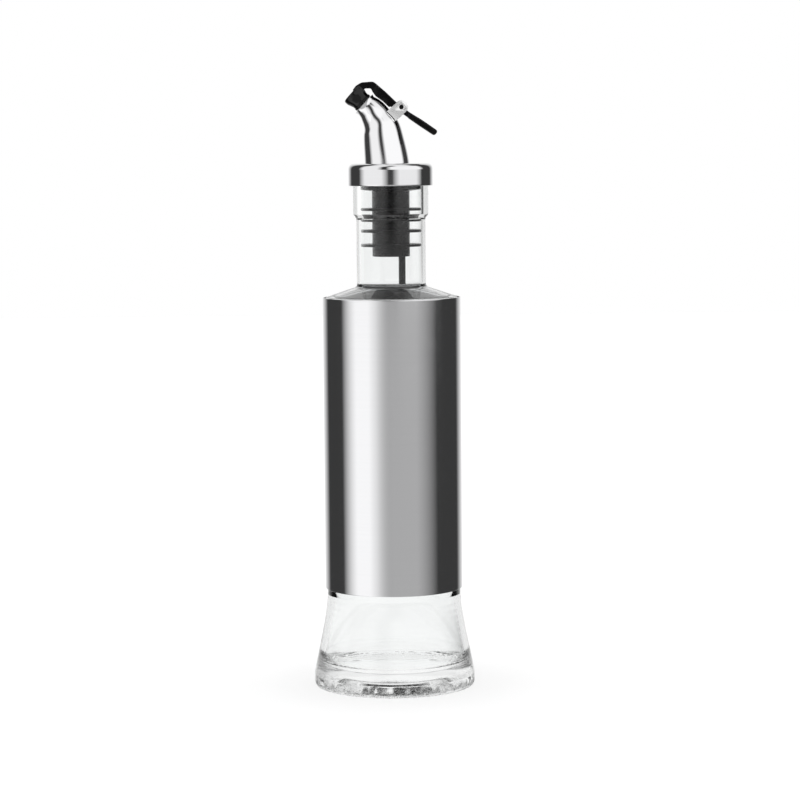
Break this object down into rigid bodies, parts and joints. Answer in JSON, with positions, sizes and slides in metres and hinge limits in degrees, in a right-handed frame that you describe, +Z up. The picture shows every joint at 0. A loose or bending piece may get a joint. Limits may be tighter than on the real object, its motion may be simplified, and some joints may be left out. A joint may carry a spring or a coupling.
{
  "type": "oil bottle with pourer",
  "caption": "Glass kitchen oil bottle with a flared base, a plain steel sleeve, and a steel horn pourer with a lever-operated lid.",
  "frame": {"origin": "centre of the base, on the surface that the bottle stands on", "axes": "+Z up along the bottle's axis, -X the way the spout points"},
  "size_m": [0.075, 0.075, 0.2815],
  "materials": {
    "glass": "clear polished",
    "satin_steel": "satin",
    "bright_steel": "polished",
    "spring_steel": "drawn wire",
    "black_plastic": "glossy moulded",
    "black_silicone": "matte moulded",
    "clear_tape": "adhesive film"
  },
  "bodies": {
    "bottle": {"glass_bottle": "glass", "steel_sleeve": "satin_steel", "tape_lower": "clear_tape", "tape_upper": "clear_tape"},
    "stopper": {"stopper_plug": "black_silicone"},
    "pourer_head": {"stopper_core": "black_plastic", "vent_tube": "black_plastic", "spout_gasket": "black_silicone", "spout": "bright_steel", "collar": "satin_steel", "lever_bracket": "bright_steel", "hinge_pin": "black_plastic", "lever_spring": "spring_steel"},
    "lid_lever": {"lever": "black_plastic", "mouth_seal": "black_silicone"}
  },
  "joints": [
    {"name": "pourer_lift", "type": "slide", "parent": "bottle", "child": "stopper", "axis": [0, 0, 1], "range_m": [0, 0.06]},
    {"name": "spout_turn", "type": "hinge", "parent": "stopper", "child": "pourer_head", "pos_m": [0, 0, 0.24], "axis": [0, 0, 1], "continuous": true},
    {"name": "lever_tilt", "type": "hinge", "parent": "pourer_head", "child": "lid_lever", "pos_m": [0.0053, 0, 0.26979], "axis": [0, 1, 0], "range_deg": [0, 35], "stiffness_Nm_per_rad": 0.01, "springref_deg": -28.65, "deforming": ["lever_spring"]}
  ]
}
